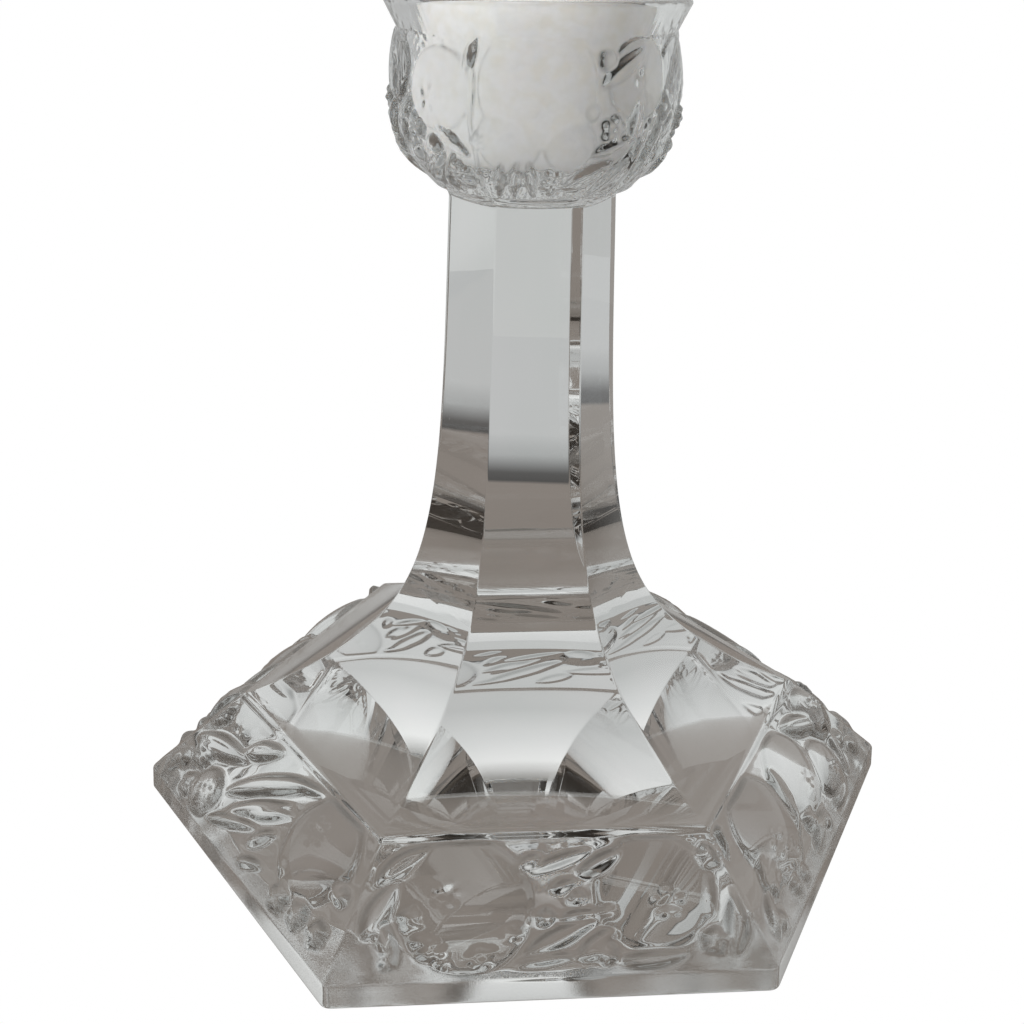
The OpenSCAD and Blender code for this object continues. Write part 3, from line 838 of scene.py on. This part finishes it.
# %% [markdown]
# ## The stage
# Clear glass has no colour of its own, so the room is its paint. The camera sees plain
# white around the piece, and the glass sees a calm room: a warm grey table, a dark line
# where it ends, a pale wall that brightens upwards, and a dim room behind the camera.
# Real walls would need lamps of their own, so table and room glow by themselves, in levels
# of linear light. Soft lamps would show as bright squares in the facets, so they light
# only the candle.


# %% Helpers of the stage
def sheet(name, corners, material):
    """One flat face through the corners, in mm, that belongs to the stage."""
    mesh = bpy.data.meshes.new(name)
    mesh.from_pydata((np.array(corners) * MM).tolist(), [], [list(range(len(corners)))])
    mesh.materials.append(material)
    body = bpy.data.objects.new(name, mesh)
    scene.collection.objects.link(body)


def white_to_camera(tree, kind, room, socket):
    """The camera sees plain white, as behind a cut-out; the glass sees the room."""
    path = add_node(tree, "ShaderNodeLightPath")
    pale = add_node(tree, kind, Color=(1, 1, 1, 1), Strength=1.0)
    mix = add_node(tree, "ShaderNodeMixShader", links=[
        (0, path.outputs["Is Camera Ray"]), (1, room.outputs[0]), (2, pale.outputs[0])])
    tree.links.new(mix.outputs[0], socket)


# %% The table: warm grey up to its far edge, then the dark line and the foot of the wall
table_z = -0.3
EDGE_AT, EDGE_SLANT = 123.0, 0.19  # mm behind the axis, and mm nearer for each mm to the right
REACH = 200.0  # mm before and behind the edge that the ramp of tones spans
paint, tree, output = new_material("table_paint")
spot = add_node(tree, "ShaderNodeNewGeometry")
parts = add_node(tree, "ShaderNodeSeparateXYZ", links=[(0, spot.outputs["Position"])])
slanted = add_node(tree, "ShaderNodeMath", operation="MULTIPLY_ADD", links=[
    (0, parts.outputs["X"]), (2, parts.outputs["Y"])])
slanted.inputs[1].default_value = EDGE_SLANT
past_edge = add_node(tree, "ShaderNodeMapRange", links=[("Value", slanted.outputs[0])],
                     From_Min=(EDGE_AT - REACH) * MM, From_Max=(EDGE_AT + REACH) * MM)
tones = add_node(tree, "ShaderNodeValToRGB", links=[("Fac", past_edge.outputs[0])], stops=[
    (0.0, (0.235, 0.208, 0.186)), (0.496, (0.25, 0.222, 0.20)), (0.504, (0.07, 0.07, 0.07)),
    (0.525, (0.09, 0.09, 0.09)), (0.57, (0.40, 0.41, 0.41)), (0.63, (0.54, 0.55, 0.55))])
ends = add_node(tree, "ShaderNodeMapRange", links=[("Value", parts.outputs["X"])],
                interpolation_type="SMOOTHSTEP", From_Min=0.2, From_Max=0.3,
                To_Min=1.0, To_Max=0.08)
past_it = add_node(tree, "ShaderNodeMapRange", links=[("Value", past_edge.outputs[0])],
                   From_Min=0.50, From_Max=0.55)
only_table = add_node(tree, "ShaderNodeMath", operation="MAXIMUM", links=[
    (0, ends.outputs[0]), (1, past_it.outputs[0])])
room = add_node(tree, "ShaderNodeEmission", links=[
    ("Color", tones.outputs[0]), ("Strength", only_table.outputs[0])])
white_to_camera(tree, "ShaderNodeEmission", room, output.inputs["Surface"])
sheet("table_top", [(-900, -450, table_z), (900, -450, table_z), (900, 200, table_z),
                    (-900, 400, table_z)], paint)
print("stage material:", paint.name)

# %% The room: wall in front, dim room behind, mixed by the direction of the view
# The ramps run from a level view at 0 to straight up at 1.
world = bpy.data.worlds.new("room")
scene.world = world
world.use_nodes = True
tree = world.node_tree
tree.nodes.clear()
output = tree.nodes.new("ShaderNodeOutputWorld")
where = add_node(tree, "ShaderNodeTexCoord")
parts = add_node(tree, "ShaderNodeSeparateXYZ", links=[(0, where.outputs["Generated"])])
wall = add_node(tree, "ShaderNodeValToRGB", links=[("Fac", parts.outputs["Z"])], stops=[
    (0.0, (0.585, 0.595, 0.59)), (0.33, (0.56, 0.57, 0.565)), (0.54, (0.66, 0.67, 0.665)),
    (0.71, (0.76, 0.77, 0.765)), (0.87, (0.87, 0.88, 0.87)), (0.95, (0.62, 0.62, 0.61)),
    (1.0, (0.34, 0.335, 0.32))])
across = add_node(tree, "ShaderNodeMapRange", links=[("Value", parts.outputs["X"])],
                  From_Min=-0.6, From_Max=0.5, To_Min=0.82, To_Max=1.08)
lit_wall = add_node(tree, "ShaderNodeVectorMath", operation="SCALE", links=[
    (0, wall.outputs[0]), ("Scale", across.outputs[0])])
dark_room = add_node(tree, "ShaderNodeValToRGB", links=[("Fac", parts.outputs["Z"])], stops=[
    (0.0, (0.06, 0.05, 0.04)), (0.15, (0.016, 0.012, 0.009)), (0.8, (0.026, 0.022, 0.018)),
    (0.9, (0.12, 0.11, 0.10)), (1.0, (0.17, 0.16, 0.145))])
sideways = add_node(tree, "ShaderNodeMath", operation="ABSOLUTE", links=[(0, parts.outputs["X"])])
middle = add_node(tree, "ShaderNodeMapRange", links=[("Value", sideways.outputs[0])],
                  From_Min=0.15, From_Max=0.45, To_Min=1.0, To_Max=0.0)
back_room = add_node(tree, "ShaderNodeMix", data_type="RGBA", links=[
    (0, middle.outputs[0]), (6, dark_room.outputs[0])])
back_room.inputs[7].default_value = (0.14, 0.13, 0.12, 1)
to_wall = add_node(tree, "ShaderNodeMapRange", links=[("Value", parts.outputs["Y"])],
                   interpolation_type="SMOOTHSTEP", From_Min=-0.25, From_Max=0.12)
tone = add_node(tree, "ShaderNodeMix", data_type="RGBA", links=[
    (0, to_wall.outputs[0]), (6, back_room.outputs[2]), (7, lit_wall.outputs[0])])
room = add_node(tree, "ShaderNodeBackground", links=[("Color", tone.outputs[2])], Strength=1.0)
white_to_camera(tree, "ShaderNodeBackground", room, output.inputs["Surface"])
print("room:", len(tree.nodes), "nodes")


# %% Lamps for the candle
def soft_box(name, spot, aim, size, radiance, lit):
    """Square area lamp aimed at a point, of that radiance (power = radiance * area * pi).
    It lights only the listed pieces, so that no bright square shows in the clear faces."""
    data = bpy.data.lights.new(name, "AREA")
    data.size = size * MM
    data.energy = radiance * (size * MM) ** 2 * math.pi
    lamp = bpy.data.objects.new(name, data)
    lamp.location = np.array(spot) * MM
    lamp.rotation_euler = Vector(np.array(aim) - np.array(spot)).to_track_quat("-Z", "Y").to_euler()
    scene.collection.objects.link(lamp)
    chosen = bpy.data.collections.new(name + "_lights")
    for piece in lit:
        chosen.objects.link(piece)
    lamp.light_linking.receiver_collection = chosen
    lamp.light_linking.blocker_collection = chosen
    print(f"{name}: {data.energy:.1f} W on {len(lit)} pieces")


soft_box("left_box", (-900, -420, 560), (0, 0, 150), 620, 8.0, (candle, wick))
soft_box("front_box", (260, -1000, 420), (0, 0, 150), 700, 3.2, (candle, wick))
soft_box("table_glow", (-150, -300, 2), (0, 0, 130), 400, 1.6, (candle, wick))

# %% Plain colours, and light followed far, since a view through the foot crosses many faces
scene.view_settings.view_transform = "Standard"
scene.cycles.max_bounces = 32
scene.cycles.transmission_bounces = 24
scene.cycles.glossy_bounces = 16
scene.cycles.transparent_max_bounces = 48
